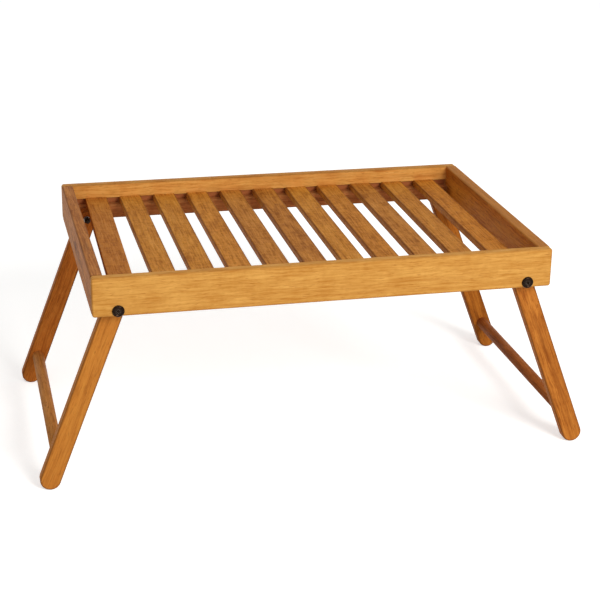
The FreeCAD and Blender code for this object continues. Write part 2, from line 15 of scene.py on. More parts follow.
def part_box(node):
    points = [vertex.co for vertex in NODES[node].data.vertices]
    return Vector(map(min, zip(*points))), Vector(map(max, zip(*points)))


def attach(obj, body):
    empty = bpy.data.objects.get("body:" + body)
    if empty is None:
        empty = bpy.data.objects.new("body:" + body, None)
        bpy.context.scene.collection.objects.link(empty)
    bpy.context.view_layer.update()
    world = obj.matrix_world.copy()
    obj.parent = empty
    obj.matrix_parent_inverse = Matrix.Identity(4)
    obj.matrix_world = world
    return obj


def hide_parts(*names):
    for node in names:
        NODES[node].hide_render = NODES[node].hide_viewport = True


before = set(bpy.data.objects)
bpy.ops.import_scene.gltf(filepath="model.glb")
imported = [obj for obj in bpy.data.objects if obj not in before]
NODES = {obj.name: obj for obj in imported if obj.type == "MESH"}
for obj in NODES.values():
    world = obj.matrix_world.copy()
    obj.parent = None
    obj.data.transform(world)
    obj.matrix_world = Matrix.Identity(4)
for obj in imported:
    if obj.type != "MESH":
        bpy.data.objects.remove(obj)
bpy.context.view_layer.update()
MM = 0.001
print("pieces loaded:", len(NODES))

# %% [markdown]
# ## Colours and nodes
#
# Colours are picked as sRGB hex values, the way a paint program shows them, but a
# shader wants linear light. One function does that change. A second small function adds
# a shader node, sets it and wires it up, so that a material reads from top to bottom.

# %% Helpers for materials


def linear(hex_colour):
    """Linear RGBA of an sRGB hex colour."""
    channels = [int(hex_colour[i:i + 2], 16) / 255 for i in (1, 3, 5)]
    curve = [c / 12.92 if c <= 0.04045 else ((c + 0.055) / 1.055) ** 2.4 for c in channels]
    return (*curve, 1.0)


def add(tree, kind, inputs=None, **settings):
    """Add a shader node; inputs holds values or the sockets to link from."""
    made = tree.nodes.new(kind)
    for key, setting in settings.items():
        setattr(made, key, setting)
    for key, given in (inputs or {}).items():
        if isinstance(given, bpy.types.NodeSocket):
            tree.links.new(given, made.inputs[key])
        else:
            made.inputs[key].default_value = given
    return made


def new_material(name):
    """An empty material with its output node."""
    material = bpy.data.materials.new(name)
    material.use_nodes = True
    material.node_tree.nodes.clear()
    output = add(material.node_tree, "ShaderNodeOutputMaterial")
    return material, material.node_tree, output


def per_metre(size_mm):
    """Scale of a noise whose features are size_mm wide."""
    return 1 / (size_mm * MM)


def finish(node, material):
    """Give a loaded piece its material, in every slot."""
    mesh = NODES[node].data
    if not mesh.materials:
        mesh.materials.append(material)
    for slot_index in range(len(mesh.materials)):
        mesh.materials[slot_index] = material


print("white in linear light:", linear("#FFFFFF"))

# %% Helpers for values and colours


def math_node(tree, operation, *inputs):
    """Socket of a maths node over values and sockets."""
    made = add(tree, "ShaderNodeMath", dict(enumerate(inputs)), operation=operation)
    return made.outputs[0]


def ramp_up(tree, source, start, end, top=1.0):
    """Smooth rise from 0 at start to top at end."""
    made = add(tree, "ShaderNodeMapRange", {
        "Value": source, "From Min": start, "From Max": end, "To Min": 0.0, "To Max": top},
        interpolation_type="SMOOTHSTEP")
    return made.outputs[0]


def blend(tree, amount, base, over):
    """Mix one colour over another."""
    made = add(tree, "ShaderNodeMix", {"Factor": amount, 6: base, 7: over}, data_type="RGBA")
    return made.outputs[2]


print("noise scale for 1 mm:", per_metre(1))

# %% [markdown]
# ## Oiled acacia: where the grain runs
#
# Every piece of wood has its own coordinates: X along the grain, Y across the face and Z
# through the thickness, with zero in the middle of the piece. A Mapping node turns the
# object's coordinates into these. Squeezing X then stretches any noise into fibres, and
# the distance to the long arrises can be read straight from Y and Z.

# %% Grain coordinates
QUARTER = math.pi / 2
SPLAY = math.radians(20.997)
EDGE_ALONG_X = Matrix.Rotation(QUARTER, 3, "X")
FLAT_ALONG_Y = Matrix.Rotation(-QUARTER, 3, "Z")
EDGE_ALONG_Y = EDGE_ALONG_X @ FLAT_ALONG_Y
LEFT_LEG = EDGE_ALONG_X @ Matrix.Rotation(QUARTER - SPLAY, 3, "Y")
RIGHT_LEG = EDGE_ALONG_X @ Matrix.Rotation(SPLAY - QUARTER, 3, "Y")
# A leg stands askew, so its box says nothing of its length, width and thickness.
LEG_SIZE_MM = (271, 26, 15)


def board_of(node, turn, size_mm=None):
    """Centre and half sizes, in metres, of a piece in its own grain coordinates."""
    low, high = (Vector(corner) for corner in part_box(node))
    if size_mm:
        half = Vector(size_mm) * MM / 2
    else:
        half = Vector([abs(part) for part in turn @ (high - low)]) / 2
    return (low + high) / 2, half


print("legs lean out by", round(math.degrees(SPLAY), 1), "degrees")

# %% [markdown]
# ## Oiled acacia: the pattern
#
# The timber is a golden brown hardwood under a thin coat of oil. Seen close, it has fine
# fibres, short dark pores and wavy lines of darker late wood. From further off, broad
# patches shift between light and dark as the fibres dip in and out. A picture of wood
# would slide off the edges and repeat, so the pattern is solid: it is made of noises that
# are drawn out along the grain, and of rings about the middle of the log.

# %% Noise along the grain
# Real fibres and pores are about a fifth of a millimetre wide. They are drawn 0.9 mm wide
# here, because one pixel of the picture covers 1.4 mm. keep is how much of its length
# scale a noise keeps along the grain: the less, the longer its features are.
FIBRES = dict(keep=0.035, size_mm=0.9, detail=3.0, roughness=0.6)
PORES = dict(keep=0.09, size_mm=0.9, detail=1.0, roughness=0.4)
LINES = dict(keep=0.05, size_mm=2.6, detail=4.0, roughness=0.62)
CURLS = dict(keep=0.12, size_mm=5.0, detail=2.0, roughness=0.5, distortion=1.5)
BANDS = dict(keep=0.05, size_mm=9, detail=2.0, roughness=0.5)
RIPPLES = dict(keep=2.2, size_mm=13, detail=3.0, roughness=0.65)
PATCHES = dict(keep=0.45, size_mm=17, detail=3.0, roughness=0.6)


def stretched(tree, place, keep, size_mm, detail, roughness, distortion=0.0):
    """Noise drawn out along the grain."""
    squeezed = add(tree, "ShaderNodeVectorMath", {0: place, 1: (keep, 1, 1)}, operation="MULTIPLY")
    made = add(tree, "ShaderNodeTexNoise", {
        "Vector": squeezed.outputs[0], "Scale": per_metre(size_mm), "Detail": detail,
        "Roughness": roughness, "Distortion": distortion})
    return made.outputs["Fac"]


print("finest and broadest noise:", FIBRES["size_mm"], "and", PATCHES["size_mm"], "mm")

# %% Places in the board and in the log
SWAY_KEEP, SWAY_MM, SWAY_REACH_MM = 0.22, 24, 9
# A seed moves a board this way through the noise, off the axes, so that no two share a line.
SEED_WAY = (1, 0.37, 0.61)


def moved(tree, place, offset):
    """A place moved by an offset, which is a socket or a value."""
    return add(tree, "ShaderNodeVectorMath", {0: place, 1: offset}, operation="ADD").outputs[0]


def places_in_board(tree, where, turn, centre, seed):
    """The board's own coordinates, its own stretch of wood, and the sway of the grain there."""
    centred = add(tree, "ShaderNodeMapping", {
        "Vector": where.outputs["Object"], "Location": -(turn @ centre), "Rotation": turn.to_euler("XYZ")})
    own = moved(tree, centred.outputs[0], [seed * way for way in SEED_WAY])
    # Slow sway bends every line of the grain a little, as growth does.
    slow = add(tree, "ShaderNodeVectorMath", {0: own, 1: (SWAY_KEEP, 1, 1)}, operation="MULTIPLY")
    bends = add(tree, "ShaderNodeTexNoise", {
        "Vector": slow.outputs[0], "Scale": per_metre(SWAY_MM), "Detail": 2.0, "Roughness": 0.5})
    sway = add(tree, "ShaderNodeVectorMath", {
        0: bends.outputs["Color"], 1: (0.0, SWAY_REACH_MM * MM, SWAY_REACH_MM * MM)},
        operation="MULTIPLY")
    return centred.outputs[0], own, sway.outputs[0]


print("the grain sways by up to", SWAY_REACH_MM, "mm")

# %% Growth rings
# A wave texture of scale 1 repeats every tenth of pi.
WAVE_PERIOD = 2 * math.pi / 20


def growth_rings(tree, place, sway, pith, lean, ring_mm):
    """Circles about a pith outside the board, a little off parallel to it."""
    tilt = Matrix.Rotation(math.radians(lean[0]), 3, "Y") @ Matrix.Rotation(math.radians(lean[1]), 3, "Z")
    log = add(tree, "ShaderNodeMapping", {
        "Vector": place, "Location": pith, "Rotation": tilt.to_euler("XYZ")})
    rings = add(tree, "ShaderNodeTexWave", {
        "Vector": moved(tree, log.outputs[0], sway), "Scale": WAVE_PERIOD / (ring_mm * MM),
        "Distortion": 0.8, "Detail": 3.0, "Detail Scale": 3.0, "Detail Roughness": 0.6},
        wave_type="RINGS", rings_direction="X", wave_profile="SAW")
    return rings.outputs["Fac"]


print("rings 7 mm apart need a scale of", round(WAVE_PERIOD / (7 * MM), 2))

# %% Curled figure
CURL_RISE = (0.46, 0.60)


def curled_figure(tree, place, grain, along_mm, across_mm, half_length_mm, half_width_mm):
    """Dark curls of grain in one long patch of a board, where a branch grew near."""
    offset = moved(tree, place, (-along_mm * MM, -across_mm * MM, 0))
    shares = add(tree, "ShaderNodeVectorMath", {
        0: offset, 1: (per_metre(half_length_mm), per_metre(half_width_mm), 0)}, operation="MULTIPLY")
    distance = add(tree, "ShaderNodeVectorMath", {0: shares.outputs[0]}, operation="LENGTH")
    inside = ramp_up(tree, distance.outputs["Value"], 1.0, 0.3)
    curls = ramp_up(tree, stretched(tree, grain, **CURLS), *CURL_RISE)
    return math_node(tree, "MULTIPLY", inside, curls)


print("curls are", CURLS["size_mm"], "mm wide")

# %% [markdown]
# ## Oiled acacia: edges, ends and painted side shade
#
# Sharp edges drink more oil and are handled more, so the arrises are darker, and end
# grain is darker still. The narrow long faces get painted shade in the same edge colour.
# A mask for each says where it is. The arrises are found by their distance from the
# board's faces, and sides and ends by the way they face.

# %% Masks for edges, ends and painted side shade
# An arris is full dark 0.9 mm in from the edges, and 2.6 mm in it has faded out.
ARRIS_FULL, ARRIS_GONE = 0.9 * MM, 2.6 * MM
# A face counts in full within 18 degrees of a direction, and not at all past 53 degrees.
FACING_RISE = (0.6, 0.95)
ALONG, ACROSS = (1, 0, 0), (0, 1, 0)


def arris_mask(tree, place, half, round_ends):
    """1 on the rounded long edges of a board, 0 on its faces."""
    parts = add(tree, "ShaderNodeSeparateXYZ", {0: place})
    along, across, through = (math_node(tree, "ABSOLUTE", parts.outputs[i]) for i in range(3))
    if round_ends:
        past = math_node(tree, "MAXIMUM", math_node(tree, "SUBTRACT", along, half.x - half.y), 0.0)
        reach = math_node(tree, "SQRT", math_node(tree, "ADD", math_node(tree, "POWER", past, 2.0),
                                                  math_node(tree, "POWER", across, 2.0)))
        to_rim = math_node(tree, "SUBTRACT", half.y, reach)
    else:
        to_rim = math_node(tree, "MINIMUM", math_node(tree, "SUBTRACT", half.x, along),
                           math_node(tree, "SUBTRACT", half.y, across))
    to_face = math_node(tree, "SUBTRACT", half.z, through)
    inset = math_node(tree, "MAXIMUM", to_rim, to_face)
    return ramp_up(tree, inset, ARRIS_GONE, ARRIS_FULL)


def facing_mask(tree, normal, turn, direction, amount):
    """Up to amount on the faces that look along one of the board's own directions, or against it."""
    aligned = add(tree, "ShaderNodeVectorMath", {
        0: normal, 1: turn.inverted() @ Vector(direction)}, operation="DOT_PRODUCT")
    return ramp_up(tree, math_node(tree, "ABSOLUTE", aligned.outputs["Value"]), *FACING_RISE, amount)


print("arrises fade over", round((ARRIS_GONE - ARRIS_FULL) / MM, 1), "mm")

# %% [markdown]
# ## The rails' groove
#
# A groove runs along each rail's inner face and takes the slats' ends. Its walls are
# redder and darker than the faces, partly because they are saw-cut and partly as painted
# shade of the recess. A mask finds them: it is 1 between the end boards, behind the
# rail's inner face and no deeper than the groove.

# %% The groove's colour and painted shade
GROOVE_SAWN_AND_SHADE_BROWN = "#B26A3C"
RAIL_INNER_Y = 186 * MM
BOARD_INNER_X = 275 * MM
# The mask fades in behind the face, and out just past the groove's 4 mm depth and walls.
MOUTH_RISE = (RAIL_INNER_Y + 0.1 * MM, RAIL_INNER_Y + 0.9 * MM)
BOTTOM_FALL = (RAIL_INNER_Y + 4.6 * MM, RAIL_INNER_Y + 4.2 * MM)
WALL_FADE = 0.2 * MM
# The slats' tongues are 1 mm thinner than the slats, and the groove fits the tongues.
SHOULDER = 1 * MM
GROOVE = (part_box("slat_06")[0][2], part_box("slat_06")[1][2] - SHOULDER)


def groove_mask(tree, place, bottom_z, top_z):
    """1 on the walls of a rail's groove, which lies between two heights."""
    parts = add(tree, "ShaderNodeSeparateXYZ", {0: place})
    depth = math_node(tree, "ABSOLUTE", parts.outputs[1])
    behind = ramp_up(tree, depth, *MOUTH_RISE)
    shallow = ramp_up(tree, depth, *BOTTOM_FALL)
    above = ramp_up(tree, parts.outputs[2], bottom_z - WALL_FADE, bottom_z)
    below = ramp_up(tree, parts.outputs[2], top_z + WALL_FADE, top_z)
    along = math_node(tree, "ABSOLUTE", parts.outputs[0])
    between_boards = ramp_up(tree, along, BOARD_INNER_X, BOARD_INNER_X - WALL_FADE)
    inside = math_node(tree, "MULTIPLY", math_node(tree, "MULTIPLY", behind, shallow), between_boards)
    return math_node(tree, "MULTIPLY", inside, math_node(tree, "MULTIPLY", above, below))


print("groove from", *(round(height / MM, 1) for height in GROOVE), "mm above the floor")

# %% [markdown]
# ## Oiled acacia: the finish
#
# The colour starts from fine lines and fibres on a ramp of three tones. Rings, streaks,
# pores and curls are laid over it, then the edges with painted shade on the narrow faces,
# the ends, and the groove with its painted shade. Oil is not a lacquer: it has sunk in and
# left the fibres open, so the mirror part of the gloss is weak, the surface is a little
# rough, and the fibres stand up as a faint relief.

# %% The tones of the wood
LINE_SHARE, FIBRE_SHARE = 0.62, 0.38
DARK_AT, MIDDLE_AT, LIGHT_AT = 0.34, 0.50, 0.66


def fine_grain(tree, grain):
    """Lines and fibres together, from 0 to 1."""
    lines = math_node(tree, "MULTIPLY", stretched(tree, grain, **LINES), LINE_SHARE)
    fibres = math_node(tree, "MULTIPLY", stretched(tree, grain, **FIBRES), FIBRE_SHARE)
    return math_node(tree, "ADD", lines, fibres)


def with_swing(tree, value, noise, amount):
    """A value pushed up and down by a noise about its middle."""
    swing = math_node(tree, "SUBTRACT", noise, 0.5)
    return math_node(tree, "ADD", value, math_node(tree, "MULTIPLY", swing, amount))


def three_tones(tree, value, light, middle, dark):
    """Colour of a value on a ramp from dark to light."""
    tone = add(tree, "ShaderNodeValToRGB", {"Fac": value})
    first, last = tone.color_ramp.elements
    first.position, first.color = DARK_AT, linear(dark)
    last.position, last.color = LIGHT_AT, linear(light)
    tone.color_ramp.elements.new(MIDDLE_AT).color = linear(middle)
    return tone.outputs["Color"]


print("tones: 3, from", DARK_AT, "to", LIGHT_AT)

# %% The oil
OIL_IOR = 1.47
OIL_SPECULAR = 0.04
ROUGH_PORES, ROUGH_FIBRES = 0.60, 0.46
RELIEF_STRENGTH, RELIEF = 0.35, 0.15 * MM


def oiled(tree, colour, fine, pore_depth):
    """Shader of open wood under thin oil, rougher in its dark lines and sunken at its pores."""
    gloss = add(tree, "ShaderNodeMapRange", {
        "Value": fine, "From Min": 0.3, "From Max": 0.7, "To Min": ROUGH_PORES, "To Max": ROUGH_FIBRES})
    height = math_node(tree, "SUBTRACT", fine, pore_depth)
    bump = add(tree, "ShaderNodeBump", {
        "Height": height, "Strength": RELIEF_STRENGTH, "Distance": RELIEF})
    shader = add(tree, "ShaderNodeBsdfPrincipled", {
        "Base Color": colour, "Roughness": gloss.outputs[0], "IOR": OIL_IOR,
        "Specular IOR Level": OIL_SPECULAR, "Normal": bump.outputs["Normal"]})
    return shader.outputs["BSDF"]


print("oil: IOR", OIL_IOR, "roughness", ROUGH_FIBRES, "to", ROUGH_PORES)

# %% The wood material
RING_RISE, BAND_RISE, PORE_RISE = (0.3, 1.0), (0.54, 0.74), (0.60, 0.72)
PORE_AMOUNT, END_AMOUNT = 0.5, 0.45


def wood(name, node, turn, light, middle, dark, edge="#6E3F1B", pith=(0.2, 0.03, 0.07), lean=(1.2, 0.8),
         ring_mm=7.0, ring_amount=0.4, streak="#6B3A17", streak_amount=0.3, edge_amount=0.6,
         patch_amount=0.35, ripple_amount=0.12, painted_side_shading=0.25, size_mm=None, seed=0.0, groove=None,
         figure=None):
    """Solid oiled wood for one piece: its colours, its grain's direction and its place in the log."""
    material, tree, output = new_material(name)
    where = add(tree, "ShaderNodeTexCoord")
    centre, half = board_of(node, turn, size_mm)
    place, own, sway = places_in_board(tree, where, turn, centre, seed)
    grain = moved(tree, own, sway)

    fine = fine_grain(tree, grain)
    value = with_swing(tree, fine, stretched(tree, own, **PATCHES), patch_amount)
    value = with_swing(tree, value, stretched(tree, own, **RIPPLES), ripple_amount)
    colour = three_tones(tree, value, light, middle, dark)

    rings = growth_rings(tree, place, sway, pith, lean, ring_mm)
    colour = blend(tree, ramp_up(tree, rings, *RING_RISE, ring_amount), colour, linear(dark))
    bands = stretched(tree, grain, **BANDS)
    colour = blend(tree, ramp_up(tree, bands, *BAND_RISE, streak_amount), colour, linear(streak))
    pore_depth = ramp_up(tree, stretched(tree, grain, **PORES), *PORE_RISE, PORE_AMOUNT)
    colour = blend(tree, pore_depth, colour, linear(streak))
    if figure:
        colour = blend(tree, curled_figure(tree, place, grain, *figure), colour, linear(streak))

    arris = math_node(tree, "MULTIPLY", arris_mask(tree, place, half, bool(size_mm)), edge_amount)
    # Painted shade: the side mask mixes the narrow long faces towards the edge colour. These are the tops
    # and bottoms of rails, end boards and ledgers, and the sides of slats, legs, bars and dowels. Where
    # the edge colour is paler than the wood, it paints them lighter instead.
    side = facing_mask(tree, where.outputs["Normal"], turn, ACROSS, painted_side_shading)
    colour = blend(tree, math_node(tree, "MAXIMUM", arris, side), colour, linear(edge))
    end_grain = facing_mask(tree, where.outputs["Normal"], turn, ALONG, END_AMOUNT)
    colour = blend(tree, end_grain, colour, linear(edge))
    # The groove's walls are redder and darker, partly the saw-cut wood and partly painted shade of the
    # recess.
    if groove:
        groove_wall_and_shade = groove_mask(tree, where.outputs["Object"], *groove)
        colour = blend(tree, groove_wall_and_shade, colour, linear(GROOVE_SAWN_AND_SHADE_BROWN))
    tree.links.new(oiled(tree, colour, fine, pore_depth), output.inputs["Surface"])
    return material


print("end grain is mixed", END_AMOUNT, "of the way to the edge colour")

# %% [markdown]
# ## One board at a time
#
# Boards cut from different logs never match, and that is half of the look of solid wood.
# So each board gets its own colours, its own place in the log and its own seed. pith is
# where the board's middle lies as seen from the log's pith, in metres, and lean is how far
# the log leans off the board, in degrees.

# %% Frame boards
# The left end board's grain curls 10 mm off its middle, over 190 mm by 28 mm.
LEFT_FIGURE = (-10, 0, 95, 14)
FRAME_BOARDS = {
    "front_rail": dict(turn=EDGE_ALONG_X, light="#EAAE5A", middle="#D89A4A", dark="#C58235",
                       edge="#8A4C1A", edge_amount=0.3, painted_side_shading=0.0, pith=(0.3, 0.03, 0.09),
                       ring_mm=6, ring_amount=0.14, streak="#B06A2A", streak_amount=0.2, seed=1.3,
                       groove=GROOVE),
    # The rear rail's top and bottom get painted shade in its edge colour.
    "rear_rail": dict(turn=EDGE_ALONG_X, light="#F2B662", middle="#E6A350", dark="#C67D35",
                      edge="#7E461C", edge_amount=0.5, painted_side_shading=0.25, pith=(0.1, 0.02, 0.08),
                      ring_mm=8, ring_amount=0.25, streak="#A55A24", streak_amount=0.25, seed=4.1,
                      groove=GROOVE),
    "left_end_board": dict(turn=EDGE_ALONG_Y, light="#D08C48", middle="#BB763A", dark="#905227",
                           edge="#7A4A22", edge_amount=0.5, painted_side_shading=0.0, pith=(0.2, 0.004, 0.030),
                           lean=(3.0, 2.0), ring_mm=9, ring_amount=0.3, streak="#4E2C1E",
                           streak_amount=0.4, seed=7.7, figure=LEFT_FIGURE),
    # The right end board's edge colour is paler than its wood, so the side mask paints its top and bottom
    # lighter, as painted light, and its arrises are paler too.
    "right_end_board": dict(turn=EDGE_ALONG_Y, light="#CF832E", middle="#BF7124", dark="#965118",
                            edge="#C08848", edge_amount=0.5, painted_side_shading=0.4, pith=(0.4, 0.02, 0.06),
                            ring_mm=9, ring_amount=0.35, streak="#6A3614", streak_amount=0.3, seed=9.2),
    # The ledgers are seen only down the gaps between the slats. Their tones are darker than the rails',
    # partly their own tone and partly painted shade of those gaps.
    "front_ledger": dict(turn=EDGE_ALONG_X, light="#D08550", middle="#BC7440", dark="#96552C",
                         edge="#8A5228", pith=(0.2, 0.02, 0.06), ring_amount=0.3, seed=11.9),
    "rear_ledger": dict(turn=EDGE_ALONG_X, light="#D08550", middle="#BC7440", dark="#96552C",
                        edge="#A06A3A", pith=(0.5, 0.02, 0.05), ring_amount=0.3, seed=13.4),
}
for node, look in FRAME_BOARDS.items():
    finish(node, wood(f"oiled_acacia_{node}", node, **look))
print("frame boards finished:", len(FRAME_BOARDS))

# %% Slats
SLAT_TONES = [
    ("#CE883A", "#C0762C", "#9C5A1C"),
    ("#DC963E", "#CC8430", "#A8641E"),
    ("#DE983E", "#CE8630", "#AA661E"),
    ("#DE963E", "#CE8430", "#A8641E"),
    ("#D69040", "#C47E32", "#9E5E1E"),
    ("#D28C3C", "#BE782E", "#94561A"),
    ("#DE983E", "#CE8630", "#AA661E"),
    ("#D8903A", "#C87E2C", "#A2601C"),
    ("#D48E3E", "#C27C30", "#9A5A1C"),
    ("#D8923C", "#C8802E", "#A2601C"),
    ("#DA9038", "#CA7E2A", "#A45E1A"),
]
# The slats' sides get painted shade in their edge colour.
SLAT_LOOK = dict(turn=FLAT_ALONG_Y, edge="#6A3616", ring_amount=0.18, streak="#8A4C1C", streak_amount=0.15,
                 patch_amount=0.45, ripple_amount=0.4, painted_side_shading=0.29)


def place_in_log(number):
    """Another place in another log for each slat, so that no two match."""
    return dict(pith=(0.1 + 0.23 * number, 0.02 + 0.013 * (number % 4), 0.045 + 0.011 * (number % 5)),
                lean=(1.0 + 0.4 * (number % 3), 0.5 * (number % 4)),
                ring_mm=6 + number % 3, seed=20 + 3.7 * number)


for number, (light, middle, dark) in enumerate(SLAT_TONES, start=1):
    node = f"slat_{number:02d}"
    finish(node, wood(f"oiled_acacia_{node}", node, light=light, middle=middle, dark=dark,
                      **SLAT_LOOK, **place_in_log(number)))
print("slats finished:", len(SLAT_TONES))

# %% Legs and crossbars
# The legs, bars and dowels keep the default painted shade on their narrow sides.
LEG_LOOKS = {
    "front_left_leg": dict(turn=LEFT_LEG, size_mm=LEG_SIZE_MM, light="#D68E3C", middle="#CC8034",
                           dark="#B06A28", pith=(0.2, 0.02, 0.05), ring_amount=0.1,
                           patch_amount=0.15, streak="#9A5A24", streak_amount=0.12, seed=71.0),
    "rear_left_leg": dict(turn=LEFT_LEG, size_mm=LEG_SIZE_MM, light="#D48236", middle="#C4702A",
                          dark="#A0541C", pith=(0.3, 0.02, 0.04), ring_amount=0.3, seed=73.0),
    "front_right_leg": dict(turn=RIGHT_LEG, size_mm=LEG_SIZE_MM, light="#D88A3A", middle="#C67830",
                            dark="#9A521C", pith=(0.4, 0.01, 0.05), ring_amount=0.35,
                            streak="#7A3C14", streak_amount=0.5, seed=75.0),
    "rear_right_leg": dict(turn=RIGHT_LEG, size_mm=LEG_SIZE_MM, light="#C4792C", middle="#B46823",
                           dark="#8A4916", pith=(0.1, 0.02, 0.05), ring_amount=0.35, seed=77.0),
    "left_crossbar": dict(turn=FLAT_ALONG_Y, light="#D2904A", middle="#C6823E", dark="#A2642C",
                          edge_amount=0.0, pith=(0.2, 0.03, 0.03), ring_amount=0.15, seed=79.0),
    "right_crossbar": dict(turn=FLAT_ALONG_Y, light="#B86E34", middle="#A65E2A", dark="#82441A",
                           edge_amount=0.0, pith=(0.2, 0.03, 0.04), ring_amount=0.25, seed=81.0),
}
for node, look in LEG_LOOKS.items():
    finish(node, wood(f"oiled_acacia_{node}", node, **look))
# The dowels in the corners are beech, which is paler and has next to no figure.
finish("corner_dowels", wood(
    "fluted_beech_dowel", "corner_dowels", FLAT_ALONG_Y, light="#DDB98A", middle="#CBA374", dark="#B38A5C",
    edge_amount=0.0, ring_amount=0.1, streak="#A07848", streak_amount=0.1, seed=90.0))
print("legs and bars finished:", len(LEG_LOOKS))

# %% [markdown]
# ## Turned crossbars
#
# Each pair of legs is held by a round bar, turned on a lathe and pushed into its sockets.
# A lathe is easy to copy: start from a disc, then extrude it along its axis through a
# list of heights and radii. The same tool makes bolts and nuts further down.

# %% A lathe
SMOOTH_BELOW = math.radians(32)


def turned(name, profile, sides=48):
    """Closed turned solid about the Z axis, through (height, radius) pairs in millimetres."""
    bpy.ops.object.select_all(action="DESELECT")
    height, radius = profile[0]
    bpy.ops.mesh.primitive_circle_add(vertices=sides, radius=radius * MM, fill_type="NGON",
                                      location=(0, 0, height * MM))
    piece = bpy.context.active_object
    piece.name = name
    bpy.ops.object.transform_apply(location=True, rotation=True, scale=True)
    bpy.ops.object.mode_set(mode="EDIT")
    bpy.ops.mesh.select_all(action="SELECT")
    for next_height, next_radius in profile[1:]:
        bpy.ops.mesh.extrude_region_move(
            TRANSFORM_OT_translate={"value": (0, 0, (next_height - height) * MM)})
        share = next_radius / radius
        bpy.ops.transform.resize(value=(share, share, 1), center_override=(0, 0, next_height * MM))
        height, radius = next_height, next_radius
    bpy.ops.mesh.select_all(action="SELECT")
    bpy.ops.mesh.normals_make_consistent(inside=False)
    bpy.ops.object.mode_set(mode="OBJECT")
    return piece


print("smooth shading up to", round(math.degrees(SMOOTH_BELOW)), "degrees between faces")

# %% Putting a new piece in its place


def select_only(piece):
    """Select one piece and make it the active one."""
    bpy.ops.object.select_all(action="DESELECT")
    piece.select_set(True)
    bpy.context.view_layer.objects.active = piece


def settle(piece, spot, axis_angle=0.0):
    """Turn a piece about X, move it to its spot and leave its object at the origin."""
    select_only(piece)
    piece.matrix_world = Matrix.Translation(spot) @ Matrix.Rotation(axis_angle, 4, "X")
    bpy.ops.object.transform_apply(location=True, rotation=True, scale=True)
    bpy.ops.object.shade_smooth_by_angle(angle=SMOOTH_BELOW)
    return piece


def belongs(piece, body, node, slot, *materials):
    """Attach a new piece to what it rides on, hide the loaded piece it stands for, and give it its
    materials.
    """
    for material in materials:
        piece.data.materials.append(material)
    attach(piece, body)
    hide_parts(node)


# %% Crossbars
ROUND_SIDES = 64
for side in ("left", "right"):
    node = f"{side}_crossbar"
    low, high = (Vector(corner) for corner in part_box(node))
    radius_mm, length_mm = (high.x - low.x) / 2 / MM, (high.y - low.y) / MM
    # The lathe broke both rims by 1 mm, in two steps.
    bar = turned(f"turned_{node}", [
        (0, radius_mm - 1), (0.3, radius_mm - 0.4), (1, radius_mm), (length_mm / 2, radius_mm),
        (length_mm - 1, radius_mm), (length_mm - 0.3, radius_mm - 0.4), (length_mm, radius_mm - 1)],
        ROUND_SIDES)
    settle(bar, ((low.x + high.x) / 2, low.y, (low.z + high.z) / 2), -QUARTER)
    belongs(bar, f"{side}_legs", node, "crossbar_wood", bpy.data.materials[f"oiled_acacia_{node}"])
    print(bar.name, "diameter", round(2 * radius_mm, 1), "length", round(length_mm, 1))

# %% [markdown]
# ## Blackened and plated steel
#
# The pivot bolts and nuts are black oxide steel: dark, quite glossy, with a faint mottle
# where handling has polished it. The screws and brads have gone dull and brown under the
# oil, and the washers are zinc plated. All are metal, so the base colour is that of the
# reflection, and a fine noise varies both the colour and the gloss.

# %% Steel materials
SMOOTHER, ROUGHER = 0.08, 0.10
PITTING_STRENGTH, PITTING = 0.2, 0.05 * MM


def steel(name, low_hex, high_hex, roughness, mottle_mm):
    """Plated steel with a fine mottle in colour and gloss."""
    material, tree, output = new_material(name)
    where = add(tree, "ShaderNodeTexCoord")
    mottle = add(tree, "ShaderNodeTexNoise", {
        "Vector": where.outputs["Object"], "Scale": per_metre(mottle_mm), "Detail": 4.0, "Roughness": 0.6})
    colour = blend(tree, mottle.outputs["Fac"], linear(low_hex), linear(high_hex))
    gloss = add(tree, "ShaderNodeMapRange", {
        "Value": mottle.outputs["Fac"], "To Min": roughness - SMOOTHER, "To Max": roughness + ROUGHER})
    bump = add(tree, "ShaderNodeBump", {
        "Height": mottle.outputs["Fac"], "Strength": PITTING_STRENGTH, "Distance": PITTING})
    shader = add(tree, "ShaderNodeBsdfPrincipled", {
        "Base Color": colour, "Metallic": 1.0, "Roughness": gloss.outputs[0],
        "Normal": bump.outputs["Normal"]})
    tree.links.new(shader.outputs["BSDF"], output.inputs["Surface"])
    return material


BLACK_OXIDE = steel("black_oxide_steel", "#120C08", "#34261E", 0.24, 1.5)
# Two lighter steels for the bolt heads are painted light: a painted reflection on the dish and a painted
# highlight on the socket's mouth.
DISH_REFLECTION_STEEL = steel("dish_reflection_steel", "#1A1410", "#40342C", 0.26, 0.9)
SOCKET_HIGHLIGHT_STEEL = steel("socket_highlight_steel", "#8A7C70", "#BEB0A4", 0.26, 0.8)
ZINC = steel("zinc_plated_steel", "#9C9C98", "#C6C6C0", 0.30, 2.0)
TARNISHED = steel("tarnished_steel", "#5A4630", "#7E6244", 0.45, 1.0)
STEEL_NODES = {"pivot_bolts": BLACK_OXIDE, "pivot_nuts": BLACK_OXIDE, "pivot_washers": ZINC,
               "ledger_screws": TARNISHED, "slat_brads": TARNISHED}
for node, material in STEEL_NODES.items():
    finish(node, material)
print("steel nodes finished:", len(STEEL_NODES))

# %% [markdown]
# ## Pivot bolts
#
# Each leg turns on a bolt with a broad flat head. The head is pressed: a rolled rim, a
# shallow dish, and a six-sided socket for the key. The head is turned first, and the
# socket is cut by a six-sided punch, as on the real press. The bolt is made once and
# copied, and each copy has its own mesh.

# %% A punch and copies


